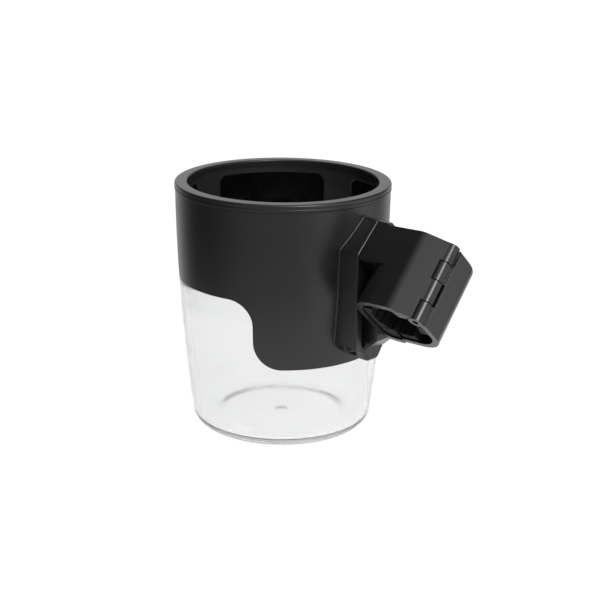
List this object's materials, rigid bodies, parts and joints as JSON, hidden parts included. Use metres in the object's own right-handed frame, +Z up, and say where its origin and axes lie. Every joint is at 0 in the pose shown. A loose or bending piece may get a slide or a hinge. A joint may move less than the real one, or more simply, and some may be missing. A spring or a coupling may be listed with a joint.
{
  "type": "clip-on cup holder",
  "caption": "Clear tumbler in a stepped black sleeve, docked on a bracket with a hinged, padded collar that clamps onto a slanted tube.",
  "frame": {"origin": "centre of the cup's base, on the surface it stands on", "axes": "+Z up the cup's axis, +X straight out of the dock towards the clamp, +Y the side towards which the clamp's collar leans going up"},
  "size_m": [0.1344, 0.09, 0.1045],
  "materials": {
    "clear_polycarbonate": "clear polished plastic",
    "satin_black": "satin moulded plastic",
    "rim_black": "satin moulded plastic, slightly smoother",
    "liner_black": "fine matte texture",
    "gloss_black": "polished",
    "clamp_black": "satin moulded plastic with soft sheen",
    "soft_black": "matte soft rubber",
    "steel": "drawn wire and rod"
  },
  "bodies": {
    "bracket": {"bracket": "clamp_black", "hinge_pin": "steel", "jaw_pad_top": "soft_black", "jaw_pad_back": "soft_black", "jaw_pad_low": "soft_black"},
    "gate": {"gate": "clamp_black", "gate_pad_side": "soft_black", "gate_pad_low": "soft_black"},
    "cup": {"clear_cup": "clear_polycarbonate", "outer_sleeve": "satin_black", "rim_ring": "rim_black", "rim_gasket": "soft_black", "grip_liner": "liner_black", "window_panel_1": "gloss_black", "window_panel_2": "gloss_black", "window_panel_3": "gloss_black", "window_panel_4": "gloss_black", "dock_housing": "satin_black", "release_pin": "steel", "release_spring": "steel"},
    "release_tab": {"release_tab": "satin_black"}
  },
  "joints": [
    {"name": "gate_hinge", "type": "hinge", "parent": "bracket", "child": "gate", "pos_m": [0.08469, -0.00585, 0.07899], "axis": [0.0471, -0.6863, -0.7258], "range_deg": [0, 100]},
    {"name": "cup_lift", "type": "slide", "parent": "bracket", "child": "cup", "axis": [0, 0, 1], "range_m": [0, 0.045]},
    {"name": "release_tab", "type": "hinge", "parent": "cup", "child": "release_tab", "pos_m": [0.04505, 0, 0.058], "axis": [0, 1, 0], "range_deg": [0, 4], "stiffness_Nm_per_rad": 0.3, "springref_deg": -1.72, "deforming": ["release_spring"]}
  ]
}
